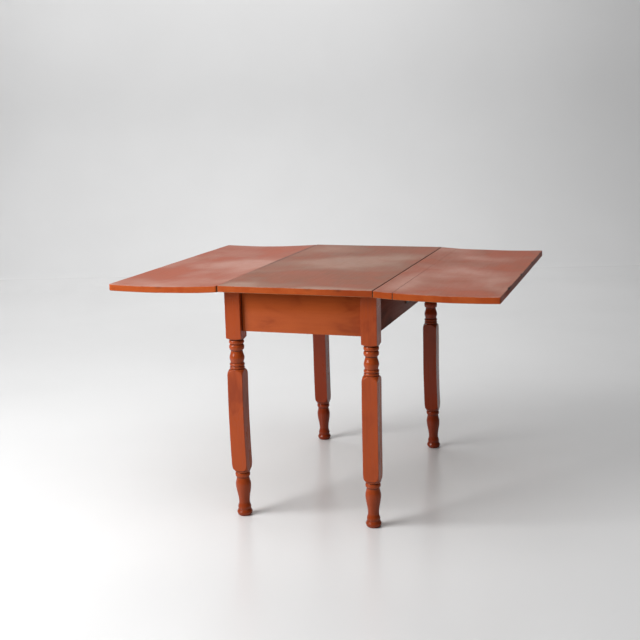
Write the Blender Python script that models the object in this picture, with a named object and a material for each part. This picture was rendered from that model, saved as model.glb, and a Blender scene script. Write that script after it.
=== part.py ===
"""Drop leaf table: a fixed centre top on a turned leg frame, with a hinged leaf and a prop stay on each side."""

import math

import bmesh
import bpy

# Top, in metres. The floor is z = 0, the leaves open along X, and the visible end faces -Y.
TOP_Z = 0.737
TOP_T = 0.0195
LENGTH = 0.940
CENTRE_W = 0.475
LEAF_W = 0.360
JOINT_GAP = 0.001
FIT = 0.0003

# The leaf boards have cupped: they leave the hinge sloping down and curl back up at the edge.
LEAF_STEP = 0.0008
LEAF_SLOPE = math.radians(4.4)
LEAF_CUP_R = 3.10
LEAF_STATIONS = 12
LEAF_CORNER_R = 0.006
STRIP_W = 0.056
ARRIS_R = 0.0018

# Hinges, screwed under the butt joint.
PIN_DROP = 0.0042
PIN_R = 0.0012
KNUCKLE_R = 0.0029
PLATE_T = 0.002
PLATE_LEN_Y = 0.038
TABLE_PLATE_W = 0.021
LEAF_PLATE_W = 0.038
KNUCKLES = 5
HINGE_Y = {"front": -0.330, "middle": 0.0, "back": 0.330}

# Leg frame.
LEG_SQ = 0.0485
LEG_X = 0.2120
LEG_Y = 0.4000
LEG_TOP = TOP_Z - TOP_T - FIT
LATHE_SIDES = 20
LATHE_TURN = 4.0
APRON_D = 0.1275
APRON_T = 0.020
APRON_SETBACK = 0.014
TENON_T = 0.009
TENON_INSET = 0.004
TENON_LEN = 0.020
TENON_FOOT = 0.012
TENON_HEAD = 0.016
BRACE_T = 0.028
BRACE_H = 0.060
BRACE_REACH = 0.072
GLUE_BLOCK = 0.022
GLUE_BLOCK_LEN = 0.070

# Turned profile radii and heights above the floor.
FREE_R = 0.0380
FOOT_R = 0.0241
ANKLE_R = 0.0169
BULB_R = 0.0239
BEAD_R = 0.0232
GROOVE_R = 0.0202
NECK_R = 0.0185
ANKLE_Z = 0.043
BULB_Z = 0.101
LOWER_SHOULDER_Z = 0.143
UPPER_SHOULDER_Z = 0.472
BARREL_Z = 0.507
BLOCK_SHOULDER_Z = 0.563

# Prop stays: a flat iron bar hung from the side apron, its tip under the leaf.
STAY_PIVOT_OUT = 0.00775
STAY_PIVOT_Z = 0.636
STAY_BAR_T = 0.0045
STAY_BAR_W = 0.019
STAY_EYE_R = 0.0042
STAY_PIN_R = 0.0018
STAY_TIP_OUT = 0.150
BRACKET_T = 0.0025
BRACKET_W = 0.044
BRACKET_H = 0.038
EAR_T = 0.003
KEEPER_W = 0.044
KEEPER_IN = 0.128
KEEPER_OUT = 0.182
KEEPER_T = 0.009
KEEPER_RAMP_T = 0.0050
KEEPER_RAMP = math.radians(23.0)

PIN_X = CENTRE_W / 2 + JOINT_GAP / 2
PIN_Z = TOP_Z - TOP_T - PIN_DROP
LEG_IN_X = LEG_X - LEG_SQ / 2
LEG_IN_Y = LEG_Y - LEG_SQ / 2
APRON_FACE_X = LEG_X + LEG_SQ / 2 - APRON_SETBACK
APRON_FACE_Y = LEG_Y + LEG_SQ / 2 - APRON_SETBACK
APRON_TOP = TOP_Z - TOP_T - FIT
APRON_BOTTOM = APRON_TOP - APRON_D
SIDES = {"left": -1, "right": 1}
ENDS = {"front": -1, "back": 1}

RUST = (0.42, 0.105, 0.048)
RUST_WORN = (0.40, 0.17, 0.105)
RUST_DARK = (0.27, 0.062, 0.034)
RAW_PINE = (0.46, 0.30, 0.17)
IRON = (0.085, 0.075, 0.068)
PIN_STEEL = (0.20, 0.19, 0.18)


def clear_scene():
    for obj in list(bpy.data.objects):
        bpy.data.objects.remove(obj)


def paint(obj, colour, roughness, metallic=0.0):
    """Gives the object its own Principled material."""
    skin = bpy.data.materials.new(obj.name + "_finish")
    skin.use_nodes = True
    shader = skin.node_tree.nodes["Principled BSDF"]
    shader.inputs["Base Color"].default_value = (*colour, 1.0)
    shader.inputs["Roughness"].default_value = roughness
    shader.inputs["Metallic"].default_value = metallic
    skin.diffuse_color = (*colour, 1.0)
    obj.data.materials.clear()
    obj.data.materials.append(skin)


def add_object(name, bm, parent=None, location=(0.0, 0.0, 0.0)):
    bmesh.ops.recalc_face_normals(bm, faces=bm.faces)
    mesh = bpy.data.meshes.new(name)
    bm.to_mesh(mesh)
    bm.free()
    obj = bpy.data.objects.new(name, mesh)
    bpy.context.scene.collection.objects.link(obj)
    obj.location = location
    obj.parent = parent
    return obj


def add_empty(name, location, parent=None):
    empty = bpy.data.objects.new(name, None)
    empty.location = location
    empty.parent = parent
    bpy.context.scene.collection.objects.link(empty)
    return empty


def box_into(bm, low, high):
    """Adds a closed box between two corners."""
    made = bmesh.ops.create_cube(bm, size=1.0)
    for vert in made["verts"]:
        for axis in range(3):
            middle = (low[axis] + high[axis]) / 2
            vert.co[axis] = middle + vert.co[axis] * (high[axis] - low[axis])


def span(a, b, sign):
    """The low and high ends of a stretch that is mirrored when sign is negative."""
    return (a, b) if sign > 0 else (-b, -a)


def prism_into(bm, outline, low, high, axis):
    """Adds a prism: a closed outline drawn across the axis, extruded from low to high along it."""
    ends = []
    for level in (low, high):
        ring = []
        for a, b in outline:
            point = {"X": (level, a, b), "Y": (a, level, b), "Z": (a, b, level)}[axis]
            ring.append(bm.verts.new(point))
        ends.append(ring)
    bm.faces.new(ends[0])
    bm.faces.new(ends[1])
    count = len(outline)
    for i in range(count):
        j = (i + 1) % count
        bm.faces.new((ends[0][i], ends[0][j], ends[1][j], ends[1][i]))


def rod_into(bm, radius, low, high, sides, centre=(0.0, 0.0)):
    """Adds a round rod along Y."""
    outline = []
    for i in range(sides):
        angle = math.tau * i / sides
        outline.append((centre[0] + radius * math.cos(angle), centre[1] + radius * math.sin(angle)))
    prism_into(bm, outline, low, high, "Y")


def hide_cutter(cutter):
    cutter.hide_render = True
    cutter.display_type = "WIRE"


def boolean(obj, cutter, operation="DIFFERENCE"):
    hide_cutter(cutter)
    step = obj.modifiers.new(operation.title(), "BOOLEAN")
    step.operation = operation
    step.solver = "EXACT"
    step.object = cutter


def bevel(obj, width, segments=2, limit="ANGLE"):
    step = obj.modifiers.new("Arris", "BEVEL")
    step.width = width
    step.segments = segments
    step.limit_method = limit
    step.angle_limit = math.radians(40)
    return step


def shade_round(obj):
    """Shades smooth, keeping every edge sharper than 40 degrees crisp."""
    for face in obj.data.polygons:
        face.use_smooth = True
    bm = bmesh.new()
    bm.from_mesh(obj.data)
    for edge in bm.edges:
        edge.smooth = edge.calc_face_angle(0.0) < math.radians(40)
    bm.to_mesh(obj.data)
    bm.free()


# Centre top and leaves


def build_centre_top():
    bm = bmesh.new()
    half = CENTRE_W / 2
    box_into(bm, (-half, -LENGTH / 2, TOP_Z - TOP_T), (half, LENGTH / 2, TOP_Z))
    top = add_object("centre_top", bm)
    bevel(top, ARRIS_R)
    paint(top, RUST_WORN, 0.42)


def leaf_height(out):
    """Height of the leaf's upper face over the hinge pin, at a distance out from the joint."""
    bend = -LEAF_STEP - math.tan(LEAF_SLOPE) * out + out * out / (2 * LEAF_CUP_R)
    return PIN_DROP + TOP_T + bend


def build_leaf_board(name, side, parent, start, stop, round_corners):
    """One board of a leaf: a cupped section run the length of the table."""
    sign = SIDES[side]
    upper = []
    for i in range(LEAF_STATIONS + 1):
        out = start + (stop - start) * i / LEAF_STATIONS
        upper.append((sign * (JOINT_GAP / 2 + out), leaf_height(out)))
    lower = [(x, z - TOP_T) for x, z in reversed(upper)]
    bm = bmesh.new()
    prism_into(bm, upper + lower, -LENGTH / 2, LENGTH / 2, "Y")
    weight = bm.edges.layers.float.new("bevel_weight_edge")
    edge_x = sign * (JOINT_GAP / 2 + stop)
    for edge in bm.edges:
        a, b = edge.verts
        upright = abs(a.co.z - b.co.z) > TOP_T * 0.9 and abs(a.co.y - b.co.y) < 1e-6
        if round_corners and upright and abs(a.co.x - edge_x) < 1e-6:
            edge[weight] = 1.0
    board = add_object(name, bm, parent)
    bevel(board, LEAF_CORNER_R, 3, "WEIGHT")
    bevel(board, ARRIS_R)
    paint(board, RUST_WORN, 0.42)
    return board


def build_leaves(axes):
    build_leaf_board("left_leaf_board", "left", axes["left"], 0.0, LEAF_W, True)
    build_leaf_board("right_leaf_inner_strip", "right", axes["right"], 0.0, STRIP_W, False)
    build_leaf_board("right_leaf_board", "right", axes["right"], STRIP_W + FIT, LEAF_W, True)


# Turned legs


def ease(points, z, r, steps=4):
    """Runs the profile on to (z, r) along a smooth S curve."""
    z0, r0 = points[-1]
    for i in range(1, steps + 1):
        t = i / steps
        blend = (1 - math.cos(math.pi * t)) / 2
        points.append((z0 + (z - z0) * t, r0 + (r - r0) * blend))


def bead(points, z0, z1, root, crown, steps=4):
    """A round bead between two heights, standing up from its root radius."""
    for i in range(steps + 1):
        t = math.pi * i / steps
        z = (z0 + z1) / 2 - (z1 - z0) / 2 * math.cos(t)
        points.append((z, root + (crown - root) * math.sin(t)))


def leg_profile():
    """(height, radius) up the leg. The radius is free of the stock wherever the leg is left square."""
    points = [(0.0, 0.0), (0.0, FOOT_R - 0.0065), (0.0035, FOOT_R - 0.0022)]
    ease(points, 0.0105, FOOT_R, 2)
    ease(points, 0.0195, FOOT_R - 0.0034, 2)
    points.append((0.0205, NECK_R + 0.0012))
    points.append((0.0265, NECK_R + 0.0019))
    ease(points, ANKLE_Z, ANKLE_R, 4)
    ease(points, BULB_Z, BULB_R, 6)
    ease(points, 0.1255, GROOVE_R - 0.0004, 4)
    bead(points, 0.1262, 0.1405, GROOVE_R, BEAD_R)
    points.append((LOWER_SHOULDER_Z, 0.0236))
    points.append((LOWER_SHOULDER_Z + 0.0050, 0.0256))
    points.append((LOWER_SHOULDER_Z + 0.0100, 0.0295))
    points.append((LOWER_SHOULDER_Z + 0.0180, 0.0316))
    points.append((LOWER_SHOULDER_Z + 0.0340, 0.0344))
    points.append((LOWER_SHOULDER_Z + 0.0360, FREE_R))
    points.append((UPPER_SHOULDER_Z - 0.0200, FREE_R))
    points.append((UPPER_SHOULDER_Z - 0.0180, 0.0344))
    points.append((UPPER_SHOULDER_Z - 0.0095, 0.0322))
    points.append((UPPER_SHOULDER_Z - 0.0030, 0.0272))
    points.append((UPPER_SHOULDER_Z, 0.0232))
    bead(points, UPPER_SHOULDER_Z + 0.0012, UPPER_SHOULDER_Z + 0.0088, GROOVE_R + 0.0008, BEAD_R - 0.0002)
    bead(points, UPPER_SHOULDER_Z + 0.0100, UPPER_SHOULDER_Z + 0.0188, GROOVE_R + 0.0004, BEAD_R - 0.0002)
    points.append((UPPER_SHOULDER_Z + 0.0205, GROOVE_R))
    ease(points, BARREL_Z, BEAD_R - 0.0003, 4)
    ease(points, 0.5295, NECK_R - 0.0003, 4)
    bead(points, 0.5315, 0.5470, NECK_R + 0.0006, BEAD_R)
    bead(points, 0.5485, 0.5605, GROOVE_R + 0.0002, BEAD_R + 0.0001)
    points.append((BLOCK_SHOULDER_Z, 0.0234))
    points.append((BLOCK_SHOULDER_Z + 0.0045, 0.0276))
    points.append((BLOCK_SHOULDER_Z + 0.0100, 0.0328))
    points.append((BLOCK_SHOULDER_Z + 0.0120, FREE_R))
    points.append((LEG_TOP + 0.010, FREE_R))
    points.append((LEG_TOP + 0.010, 0.0))
    return points


def lathe(name, profile):
    """Turns a (height, radius) profile about the vertical axis."""
    mesh = bpy.data.meshes.new(name)
    verts = [(radius, 0.0, height) for height, radius in reversed(profile)]
    edges = [(i, i + 1) for i in range(len(verts) - 1)]
    mesh.from_pydata(verts, edges, [])
    obj = bpy.data.objects.new(name, mesh)
    bpy.context.scene.collection.objects.link(obj)
    turn = obj.modifiers.new("Turn", "SCREW")
    turn.axis = "Z"
    turn.steps = LATHE_SIDES
    turn.render_steps = LATHE_SIDES
    turn.use_merge_vertices = True
    turn.merge_threshold = 0.00005
    turn.use_smooth_shade = True
    return obj


def tenon_box(kind, sx, sy, slack):
    """Corners of a tenon, or of its mortise when slack is added, for the joint at one leg."""
    low_z = APRON_BOTTOM + TENON_FOOT - slack
    high_z = APRON_TOP - TENON_HEAD + slack
    if kind == "end":
        x = span(LEG_IN_X - 0.004, LEG_IN_X + TENON_LEN + slack, sx)
        outer = APRON_FACE_Y - TENON_INSET
        y = span(outer - TENON_T - slack, outer + slack, sy)
    else:
        y = span(LEG_IN_Y - 0.004, LEG_IN_Y + TENON_LEN + slack, sy)
        outer = APRON_FACE_X - TENON_INSET
        x = span(outer - TENON_T - slack, outer + slack, sx)
    return (x[0], y[0], low_z), (x[1], y[1], high_z)


def build_legs():
    profile = leg_profile()
    for side, sx in SIDES.items():
        for end, sy in ENDS.items():
            turning = lathe("turning_" + end + "_" + side, profile)
            turning.location = (sx * LEG_X, sy * LEG_Y, 0.0)
            turning.rotation_euler = (0.0, 0.0, math.radians(LATHE_TURN))
            bm = bmesh.new()
            half = LEG_SQ / 2
            box_into(bm, (-half, -half, -0.005), (half, half, LEG_TOP))
            leg = add_object(end + "_" + side + "_leg", bm, None, (sx * LEG_X, sy * LEG_Y, 0.0))
            boolean(leg, turning, "INTERSECT")
            bm = bmesh.new()
            for kind in ("end", "side"):
                low, high = tenon_box(kind, sx, sy, FIT)
                box_into(bm, low, high)
            boolean(leg, add_object("mortises_" + leg.name, bm))
            paint(leg, RUST, 0.34)


# Aprons, braces and glue blocks


def build_end_aprons():
    for end, sy in ENDS.items():
        reach = LEG_IN_X - FIT
        y = span(APRON_FACE_Y - APRON_T, APRON_FACE_Y, sy)
        bm = bmesh.new()
        box_into(bm, (-reach, y[0], APRON_BOTTOM), (reach, y[1], APRON_TOP))
        apron = add_object(end + "_apron", bm)
        for side, sx in SIDES.items():
            bm = bmesh.new()
            low, high = tenon_box("end", sx, sy, 0.0)
            box_into(bm, low, high)
            boolean(apron, add_object("tenon_" + end + "_apron_" + side, bm), "UNION")
        paint(apron, RUST, 0.36)


def build_side_aprons():
    for side, sx in SIDES.items():
        reach = LEG_IN_Y - FIT
        x = span(APRON_FACE_X - APRON_T, APRON_FACE_X, sx)
        bm = bmesh.new()
        box_into(bm, (x[0], -reach, APRON_BOTTOM), (x[1], reach, APRON_TOP))
        apron = add_object(side + "_apron", bm)
        for end, sy in ENDS.items():
            bm = bmesh.new()
            low, high = tenon_box("side", sx, sy, 0.0)
            box_into(bm, low, high)
            boolean(apron, add_object("tenon_" + side + "_apron_" + end, bm), "UNION")
        bm = bmesh.new()
        for y in HINGE_Y.values():
            notch = span(PIN_X - TABLE_PLATE_W - 2 * FIT, APRON_FACE_X + 0.004, sx)
            half = PLATE_LEN_Y / 2 + FIT
            floor = PIN_Z + PIN_DROP - FIT - PLATE_T - FIT
            box_into(bm, (notch[0], y - half, floor), (notch[1], y + half, APRON_TOP + 0.004))
        boolean(apron, add_object("hinge_notches_" + side, bm))
        paint(apron, RUST_DARK, 0.40)


def build_corner_braces():
    """A diagonal block screwed across each inside corner, just behind the leg."""
    for side, sx in SIDES.items():
        for end, sy in ENDS.items():
            face_x = APRON_FACE_X - APRON_T - FIT
            face_y = APRON_FACE_Y - APRON_T - FIT
            near = BRACE_REACH - BRACE_T * math.sqrt(2)
            outline = [
                (sx * (face_x - BRACE_REACH), sy * face_y),
                (sx * (face_x - near), sy * face_y),
                (sx * face_x, sy * (face_y - near)),
                (sx * face_x, sy * (face_y - BRACE_REACH)),
            ]
            bm = bmesh.new()
            middle = (APRON_TOP + APRON_BOTTOM) / 2
            prism_into(bm, outline, middle - BRACE_H / 2, middle + BRACE_H / 2, "Z")
            brace = add_object(end + "_" + side + "_corner_brace", bm)
            paint(brace, RAW_PINE, 0.75)


def build_glue_blocks():
    """Triangular blocks in the angle between the aprons and the centre top."""
    size = GLUE_BLOCK
    half = GLUE_BLOCK_LEN / 2
    top = APRON_TOP
    for end, sy in ENDS.items():
        face = APRON_FACE_Y - APRON_T - FIT
        outline = [(sy * face, top), (sy * (face - size), top), (sy * face, top - size)]
        bm = bmesh.new()
        prism_into(bm, outline, -half, half, "X")
        paint(add_object(end + "_glue_block", bm), RAW_PINE, 0.75)
    for side, sx in SIDES.items():
        face = APRON_FACE_X - APRON_T - FIT
        outline = [(sx * face, top), (sx * (face - size), top), (sx * face, top - size)]
        for end, sy in ENDS.items():
            bm = bmesh.new()
            middle = sy * 0.165
            prism_into(bm, outline, middle - half, middle + half, "Y")
            paint(add_object(side + "_" + end + "_glue_block", bm), RAW_PINE, 0.75)


# Hinges


def plate_outline(width, top):
    """Section across a hinge plate that curls round the pin, which is at the origin."""
    under = top - PLATE_T
    start = math.asin(under / KNUCKLE_R)
    outline = [(width, top), (width, under)]
    steps = 10
    for i in range(steps + 1):
        angle = start - (start + math.tau - math.pi / 2) * i / steps
        outline.append((KNUCKLE_R * math.cos(angle), KNUCKLE_R * math.sin(angle)))
    outline.append((0.0006, top))
    return outline


def build_hinge_half(name, parent, place, tilt, direction, width, top, first_knuckle):
    """One plate of a hinge with every second knuckle, starting at first_knuckle."""
    bm = bmesh.new()
    outline = [(direction * x, z) for x, z in plate_outline(width, top)]
    prism_into(bm, outline, -PLATE_LEN_Y / 2, PLATE_LEN_Y / 2, "Y")
    half = add_object(name, bm, parent, place)
    half.rotation_euler = (0.0, tilt, 0.0)
    bm = bmesh.new()
    step = PLATE_LEN_Y / KNUCKLES
    for i in range(1 - first_knuckle, KNUCKLES, 2):
        low = -PLATE_LEN_Y / 2 + i * step - FIT / 2
        high = low + step + FIT
        gap = KNUCKLE_R + FIT
        if i == 0:
            low -= 0.002
        if i == KNUCKLES - 1:
            high += 0.002
        box_into(bm, (-gap, low, -0.006), (gap, high, 0.006))
    gaps = add_object("knuckle_gaps_" + name, bm, half)
    boolean(half, gaps)
    bm = bmesh.new()
    rod_into(bm, PIN_R + FIT, -PLATE_LEN_Y, PLATE_LEN_Y, 12)
    boolean(half, add_object("pin_bore_" + name, bm, half))
    shade_round(half)
    paint(half, IRON, 0.55, 0.85)


def build_hinge_pin(name, place):
    bm = bmesh.new()
    rod_into(bm, PIN_R, -PLATE_LEN_Y / 2 - 0.0004, PLATE_LEN_Y / 2 + 0.0004, 12)
    pin = add_object(name, bm, None, place)
    shade_round(pin)
    paint(pin, PIN_STEEL, 0.40, 0.9)


def build_hinges(axes):
    for side, sx in SIDES.items():
        for where, y in HINGE_Y.items():
            base = side + "_" + where + "_hinge"
            place = (sx * PIN_X, y, PIN_Z)
            table_top = PIN_DROP - FIT
            build_hinge_half(base + "_table_plate", None, place, 0.0, -sx, TABLE_PLATE_W, table_top, 0)
            leaf_top = (PIN_DROP - LEAF_STEP) * math.cos(LEAF_SLOPE) - FIT
            tilt = sx * LEAF_SLOPE
            build_hinge_half(base + "_leaf_plate", axes[side], (0, y, 0), tilt, sx, LEAF_PLATE_W, leaf_top, 1)
            build_hinge_pin(base + "_pin", place)


# Prop stays


def stay_rest_angle():
    """Slope of the bar, and its length, with the tip just under the open leaf."""
    under = leaf_height(STAY_TIP_OUT) - TOP_T
    run = PIN_X + STAY_TIP_OUT - APRON_FACE_X - STAY_PIVOT_OUT
    drop = PIN_Z - STAY_PIVOT_Z
    angle = math.atan2(drop, run)
    for _ in range(8):
        rise = drop + under - FIT - STAY_BAR_T / 2 * math.cos(angle)
        angle = math.atan2(rise, run)
    return angle, math.hypot(run, rise)


def build_stay_bar(side, parent):
    sx = SIDES[side]
    angle, length = stay_rest_angle()
    half = STAY_BAR_T / 2
    start = math.asin(half / STAY_EYE_R)
    outline = [(length, half), (length, -half)]
    steps = 12
    for i in range(steps + 1):
        turn = -start - (math.tau - 2 * start) * i / steps
        outline.append((STAY_EYE_R * math.cos(turn), STAY_EYE_R * math.sin(turn)))
    bm = bmesh.new()
    outline = [(sx * x, z) for x, z in outline]
    prism_into(bm, outline, -STAY_BAR_W / 2, STAY_BAR_W / 2, "Y")
    bar = add_object(side + "_stay_bar", bm, parent)
    bar.rotation_euler = (0.0, -sx * angle, 0.0)
    bm = bmesh.new()
    rod_into(bm, STAY_PIN_R + FIT, -STAY_BAR_W, STAY_BAR_W, 12)
    boolean(bar, add_object("eye_bore_" + side, bm, bar))
    shade_round(bar)
    paint(bar, IRON, 0.55, 0.85)


def build_stay_bracket(side):
    """A plate on the apron with two ears that hold the stay's pivot pin."""
    sx = SIDES[side]
    pivot_x = APRON_FACE_X + STAY_PIVOT_OUT
    bm = bmesh.new()
    plate = span(APRON_FACE_X + FIT, APRON_FACE_X + FIT + BRACKET_T, sx)
    low = (plate[0], -BRACKET_W / 2, STAY_PIVOT_Z - BRACKET_H / 2)
    high = (plate[1], BRACKET_W / 2, STAY_PIVOT_Z + BRACKET_H / 2)
    box_into(bm, low, high)
    bracket = add_object(side + "_stay_bracket", bm)
    ear_low = STAY_BAR_W / 2 + FIT
    for n, sy in enumerate((-1, 1)):
        bm = bmesh.new()
        root = APRON_FACE_X + FIT + BRACKET_T / 2
        outline = [(sx * root, STAY_PIVOT_Z + STAY_EYE_R), (sx * root, STAY_PIVOT_Z - STAY_EYE_R)]
        steps = 8
        for i in range(steps + 1):
            turn = -math.pi / 2 + math.pi * i / steps
            x = pivot_x + STAY_EYE_R * math.cos(turn)
            outline.append((sx * x, STAY_PIVOT_Z + STAY_EYE_R * math.sin(turn)))
        ear = span(ear_low, ear_low + EAR_T, sy)
        prism_into(bm, outline, ear[0], ear[1], "Y")
        boolean(bracket, add_object("ear_" + side + "_" + str(n), bm), "UNION")
    bm = bmesh.new()
    rod_into(bm, STAY_PIN_R + FIT, -STAY_BAR_W, STAY_BAR_W, 12, (sx * pivot_x, STAY_PIVOT_Z))
    cutter = add_object("ear_bore_" + side, bm)
    boolean(bracket, cutter)
    shade_round(bracket)
    paint(bracket, IRON, 0.60, 0.85)
    bm = bmesh.new()
    reach = ear_low + EAR_T + 0.0012
    rod_into(bm, STAY_PIN_R, -reach, reach, 12, (sx * pivot_x, STAY_PIVOT_Z))
    pin = add_object(side + "_stay_pin", bm)
    shade_round(pin)
    paint(pin, PIN_STEEL, 0.40, 0.9)


def build_stay_keeper(side, parent):
    """A grooved cleat under the leaf. The bar's tip lies in the groove, against a sloping stop."""
    sx = SIDES[side]
    under_in = leaf_height(KEEPER_IN) - TOP_T - FIT
    under_out = leaf_height(KEEPER_OUT) - TOP_T - FIT
    edge = JOINT_GAP / 2
    outline = [
        (sx * (edge + KEEPER_IN), under_in),
        (sx * (edge + KEEPER_OUT), under_out),
        (sx * (edge + KEEPER_OUT), under_out - KEEPER_T * 0.55),
        (sx * (edge + KEEPER_OUT - 0.006), under_out - KEEPER_T),
        (sx * (edge + KEEPER_IN + 0.006), under_in - KEEPER_T),
        (sx * (edge + KEEPER_IN), under_in - KEEPER_T * 0.55),
    ]
    bm = bmesh.new()
    prism_into(bm, outline, -KEEPER_W / 2, KEEPER_W / 2, "Y")
    keeper = add_object(side + "_stay_keeper", bm, parent)
    toe = STAY_TIP_OUT + 0.0010
    under_toe = leaf_height(STAY_TIP_OUT) - TOP_T
    slope = math.tan(KEEPER_RAMP)
    lip = toe + KEEPER_RAMP_T / slope
    deep = under_toe - 0.030
    groove = [
        (sx * (edge + KEEPER_IN - 0.004), under_in + 0.004),
        (sx * toe, under_in + 0.004),
        (sx * toe, under_toe),
        (sx * lip, under_toe - KEEPER_RAMP_T),
        (sx * (edge + KEEPER_OUT + 0.004), under_toe - KEEPER_RAMP_T),
        (sx * (edge + KEEPER_OUT + 0.004), deep),
        (sx * (edge + KEEPER_IN - 0.004), deep),
    ]
    bm = bmesh.new()
    half = STAY_BAR_W / 2 + 0.0008
    prism_into(bm, groove, -half, half, "Y")
    boolean(keeper, add_object("groove_" + side, bm, parent))
    paint(keeper, RUST_DARK, 0.5)


def build_stays(leaf_axes):
    for side, sx in SIDES.items():
        pivot = (sx * (APRON_FACE_X + STAY_PIVOT_OUT), 0.0, STAY_PIVOT_Z)
        axis = add_empty(side + "_stay_axis", pivot)
        build_stay_bracket(side)
        build_stay_bar(side, axis)
        build_stay_keeper(side, leaf_axes[side])


clear_scene()
leaf_axes = {}
for side_name, side_sign in SIDES.items():
    leaf_axes[side_name] = add_empty(side_name + "_leaf_axis", (side_sign * PIN_X, 0.0, PIN_Z))
build_centre_top()
build_leaves(leaf_axes)
build_legs()
build_end_aprons()
build_side_aprons()
build_corner_braces()
build_glue_blocks()
build_hinges(leaf_axes)
build_stays(leaf_axes)
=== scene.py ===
"""Drop leaf table: painted pine boards, turned legs and iron fittings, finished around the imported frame.

Metres. The floor is z = 0, the leaves open along X and the front apron faces -Y.
"""

import math

import bmesh
import bpy
from mathutils import Matrix, Vector, noise


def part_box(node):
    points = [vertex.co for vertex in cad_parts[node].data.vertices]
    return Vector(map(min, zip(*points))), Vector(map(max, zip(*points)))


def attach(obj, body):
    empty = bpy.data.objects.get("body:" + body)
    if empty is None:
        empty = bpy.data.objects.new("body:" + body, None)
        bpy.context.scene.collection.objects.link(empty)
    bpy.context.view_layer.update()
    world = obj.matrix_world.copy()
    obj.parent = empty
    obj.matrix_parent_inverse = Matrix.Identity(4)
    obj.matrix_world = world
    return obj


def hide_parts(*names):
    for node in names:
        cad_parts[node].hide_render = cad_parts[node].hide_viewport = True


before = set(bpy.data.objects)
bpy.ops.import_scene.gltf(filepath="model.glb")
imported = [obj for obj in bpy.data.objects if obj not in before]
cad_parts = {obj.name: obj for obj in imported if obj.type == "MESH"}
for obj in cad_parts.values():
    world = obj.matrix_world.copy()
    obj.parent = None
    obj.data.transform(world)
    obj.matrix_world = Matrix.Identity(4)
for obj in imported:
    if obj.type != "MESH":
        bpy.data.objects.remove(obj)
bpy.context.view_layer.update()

SIDES = {"left": -1, "right": 1}
ENDS = {"front": -1, "back": 1}

# Sizes that the frame gives.
top_low, top_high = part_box("centre_top")
TOP_Z = top_high.z
TOP_T = top_high.z - top_low.z
HALF_W = top_high.x
HALF_L = top_high.y
pin_low, pin_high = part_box("right_middle_hinge_pin")
PIN_X = (pin_low.x + pin_high.x) / 2
PIN_Z = (pin_low.z + pin_high.z) / 2
leg_low, leg_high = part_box("back_right_leg")
LEG_X = (leg_low.x + leg_high.x) / 2
LEG_Y = (leg_low.y + leg_high.y) / 2
LEG_SQ = leg_high.x - leg_low.x
LEG_TOP = leg_high.z
LEAF_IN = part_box("right_leaf_inner_strip")[0].x
LEAF_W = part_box("right_leaf_board")[1].x - LEAF_IN
STRIP_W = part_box("right_leaf_inner_strip")[1].x - LEAF_IN
SEAM_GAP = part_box("right_leaf_board")[0].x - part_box("right_leaf_inner_strip")[1].x

# How the leaves have cupped, as the frame's boards have.
LEAF_STEP = 0.0008
LEAF_SLOPE = math.radians(4.4)
LEAF_CUP_R = 3.10
LEAF_RISE = PIN_Z
LEAF_CREST = TOP_Z - PIN_Z

# Board edges.
BOARD_PITCH = 0.0062
BOARD_CRISP = 60
EDGE_STEPS = (0.0, 0.0004, 0.0009, 0.0015, 0.0023, 0.0033, 0.0046, 0.0066)
ARRIS_R = 0.0018
ARRIS_WEAR = 0.45
CORNER_R = {"centre": 0.0022, "left leaf": 0.0085, "right leaf": 0.0035, "inner strip": 0.0015}
SEAM_R = 0.0005
SEAM_WEAR_IN = 0.008
CHIP_REACH = 0.012
CHIP_FULL = 0.0022
# Joints: how far the darkened joint face reaches, and how far grime and painted shade reach beside a joint.
JOINT_FACE = 0.0012
JOINT_GRIME_AND_SHADE_REACH = 0.0080

# Turned profile: radii and heights above the floor.
FREE_R = 0.0400
FOOT_R = 0.0241
ANKLE_R = 0.0169
BULB_R = 0.0239
BEAD_R = 0.0232
GROOVE_R = 0.0202
NECK_R = 0.0185
ANKLE_Z = 0.043
BULB_Z = 0.101
LOWER_SHOULDER_Z = 0.143
UPPER_SHOULDER_Z = 0.472
BARREL_Z = 0.507
BLOCK_SHOULDER_Z = 0.563
LEG_SIDES = 128

# How far each hand-made leg strays from plumb: at the knee, then at the foot, along X and Y.
KNEE_Z = 0.340
LEG_STRAY = {
    "front_left": ((-0.0012, 0.0), (0.0055, 0.0)),
    "front_right": ((-0.0008, 0.0), (-0.0020, 0.0070)),
    "back_left": ((0.0040, 0.0), (0.0080, 0.0)),
    "back_right": ((0.0012, 0.0), (0.0095, 0.0)),
}

# Paint, timber and metal, as linear colours.
RUST = (0.385, 0.064, 0.0125)
RUST_ORANGE = (0.430, 0.084, 0.0180)
# Painted shade: the back legs take a darker copy of the leg paint, as they stand in the table's shadow.
RUST_BACK_IN_SHADE = (0.240, 0.029, 0.0050)
RUST_DEEP = (0.200, 0.026, 0.0065)
RUST_SHADED = (0.165, 0.030, 0.0120)
TERRACOTTA = (0.355, 0.078, 0.033)
WALNUT_BROWN = (0.212, 0.069, 0.028)
# DUST_AND_SHEEN and its grey are pale dust and painted sheen: the pale veil a glossy top shows when seen low.
DUST_AND_SHEEN = (0.540, 0.330, 0.275)
DUST_AND_SHEEN_GREY = (0.470, 0.330, 0.270)
# GRIME_AND_SHADE is dirt in chips and nicks, and painted shade in the leg hollows and apron corners.
GRIME_AND_SHADE = (0.030, 0.012, 0.008)
# Dark brown for grime and painted shade at the joints.
JOINT_GRIME_AND_SHADE = (0.070, 0.024, 0.012)
OLD_PINE = (0.330, 0.190, 0.095)
OLD_PINE_DARK = (0.170, 0.088, 0.042)
RAW_WOOD = (0.400, 0.250, 0.140)
IRON = (0.060, 0.052, 0.047)
IRON_RUST = (0.120, 0.048, 0.022)
STEEL = (0.220, 0.205, 0.190)

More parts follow.
